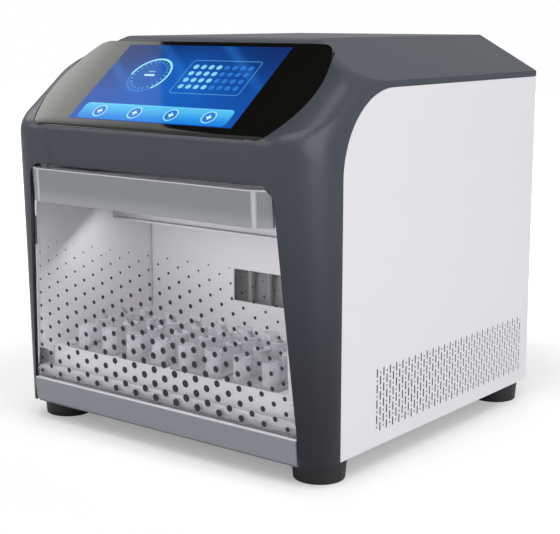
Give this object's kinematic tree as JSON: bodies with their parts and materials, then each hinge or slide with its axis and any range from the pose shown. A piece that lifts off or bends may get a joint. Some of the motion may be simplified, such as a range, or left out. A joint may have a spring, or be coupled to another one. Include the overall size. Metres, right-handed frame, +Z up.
{
  "type": "nucleic acid extractor",
  "caption": "Bench-top nucleic acid extractor with a drop-down clear door, sloped touch screen, and magnetic rod head on a gantry above reagent cartridges",
  "frame": {"origin": "middle of the footprint on the table, under the feet", "axes": "+X to the right seen from the front, +Y to the back, +Z up"},
  "size_m": [0.4, 0.4359, 0.414],
  "materials": {
    "dark_shell": "satin moulded",
    "white_panel": "fine matt powder coat",
    "rear_paint": "matt powder coat",
    "zinc_sheet": "satin",
    "satin_metal": "fine brushed",
    "handle_grey": "satin painted",
    "rubber_black": "matt",
    "cover_glass": "polished black glass",
    "screen_module": "lit panel",
    "clear_pane": "clear polycarbonate",
    "chamber_white": "satin",
    "clear_plastic": "clear polypropylene",
    "foil": "satin foil",
    "chrome_bar": "ground",
    "steel": "zinc plated",
    "alu": "anodised",
    "black_plastic": "moulded",
    "lamp_glass": "tube",
    "lamp_white": "diffuser",
    "board_green": "solder mask",
    "belt_rubber": "toothed",
    "magnet_metal": "nickel plated"
  },
  "bodies": {
    "chassis": {"front_top_shell": "dark_shell", "left_side_panel": "white_panel", "right_side_panel": "white_panel", "rear_panel": "rear_paint", "rear_panel_screws": "steel", "base_tray": "rear_paint", "front_sill": "satin_metal", "feet": "rubber_black", "display_glass": "cover_glass", "display_module": "screen_module", "display_bracket": "zinc_sheet", "hinge_brackets": "zinc_sheet", "chamber_left_wall": "chamber_white", "chamber_right_wall": "chamber_white", "chamber_back_wall": "chamber_white", "deck_plate": "chamber_white", "deck_apron": "chamber_white", "heater_block": "alu", "well_seals": "foil", "support_posts": "chrome_bar", "post_plate": "zinc_sheet", "uv_lamp": "lamp_glass", "lamp_holders": "black_plastic", "light_strip": "lamp_white", "rail_brackets": "alu", "gantry_rails": "chrome_bar", "idler_bracket": "zinc_sheet", "timing_belt": "belt_rubber", "belt_motor": "black_plastic", "motor_bracket": "zinc_sheet", "power_supply": "zinc_sheet", "control_board": "board_green", "fan_frame": "black_plastic", "fan_guard": "steel", "power_inlet": "black_plastic", "data_ports": "steel", "reagent_cartridge_1": "clear_plastic", "reagent_cartridge_2": "clear_plastic", "reagent_cartridge_3": "clear_plastic", "reagent_cartridge_4": "clear_plastic"},
    "door": {"door_pane": "clear_pane", "door_handle": "handle_grey", "door_rail": "satin_metal", "door_magnets": "magnet_metal"},
    "gantry": {"gantry_frame": "alu", "gantry_cover": "zinc_sheet", "lift_rods": "chrome_bar", "lift_motor": "black_plastic"},
    "lift_screw": {"lift_screw": "steel"},
    "sleeve_head": {"sleeve_carriage": "alu", "sleeves": "clear_plastic", "rod_motor": "black_plastic"},
    "rod_screw": {"rod_screw": "steel"},
    "rod_head": {"rod_plate": "alu", "magnetic_rods": "chrome_bar"},
    "drive_pulley": {"drive_pulley": "alu"},
    "idler_pulley": {"idler_pulley": "alu"},
    "fan": {"fan_rotor": "black_plastic"},
    "power_switch": {"power_rocker": "black_plastic"}
  },
  "joints": [
    {"name": "door_hinge", "type": "hinge", "parent": "chassis", "child": "door", "pos_m": [0, -0.18547, 0.05639], "axis": [1, 0, 0], "range_deg": [0, 86]},
    {"name": "gantry_slide", "type": "slide", "parent": "chassis", "child": "gantry", "axis": [0, 1, 0], "range_m": [-0.093, 0]},
    {"name": "lift_slide", "type": "slide", "parent": "gantry", "child": "sleeve_head", "axis": [0, 0, 1], "range_m": [-0.11, 0]},
    {"name": "rod_slide", "type": "slide", "parent": "sleeve_head", "child": "rod_head", "axis": [0, 0, 1], "range_m": [-0.043, 0]},
    {"name": "lift_screw_spin", "type": "hinge", "parent": "gantry", "child": "lift_screw", "pos_m": [0, -0.02, 0.28], "axis": [0, 0, 1], "range_deg": [-2050, 0]},
    {"name": "rod_screw_spin", "type": "hinge", "parent": "sleeve_head", "child": "rod_screw", "pos_m": [0, -0.05, 0.28], "axis": [0, 0, 1], "range_deg": [-1750, 0]},
    {"name": "drive_pulley_spin", "type": "hinge", "parent": "chassis", "child": "drive_pulley", "pos_m": [-0.191, 0.042, 0.311], "axis": [1, 0, 0], "range_deg": [-860, 0]},
    {"name": "idler_pulley_spin", "type": "hinge", "parent": "chassis", "child": "idler_pulley", "pos_m": [-0.191, -0.153, 0.311], "axis": [1, 0, 0], "range_deg": [-860, 0]},
    {"name": "fan_spin", "type": "hinge", "parent": "chassis", "child": "fan", "pos_m": [-0.09, 0.2, 0.262], "axis": [0, 1, 0], "continuous": true},
    {"name": "power_rocker_tip", "type": "hinge", "parent": "chassis", "child": "power_switch", "pos_m": [0.14, 0.2115, 0.094], "axis": [1, 0, 0], "range_deg": [-6, 6]}
  ],
  "couplings": [
    {"joint": "lift_screw_spin", "follows": "lift_slide", "rad_per_m": 314.16},
    {"joint": "rod_screw_spin", "follows": "rod_slide", "rad_per_m": 628.32},
    {"joint": "drive_pulley_spin", "follows": "gantry_slide", "rad_per_m": 156.25},
    {"joint": "idler_pulley_spin", "follows": "gantry_slide", "rad_per_m": 156.25}
  ]
}
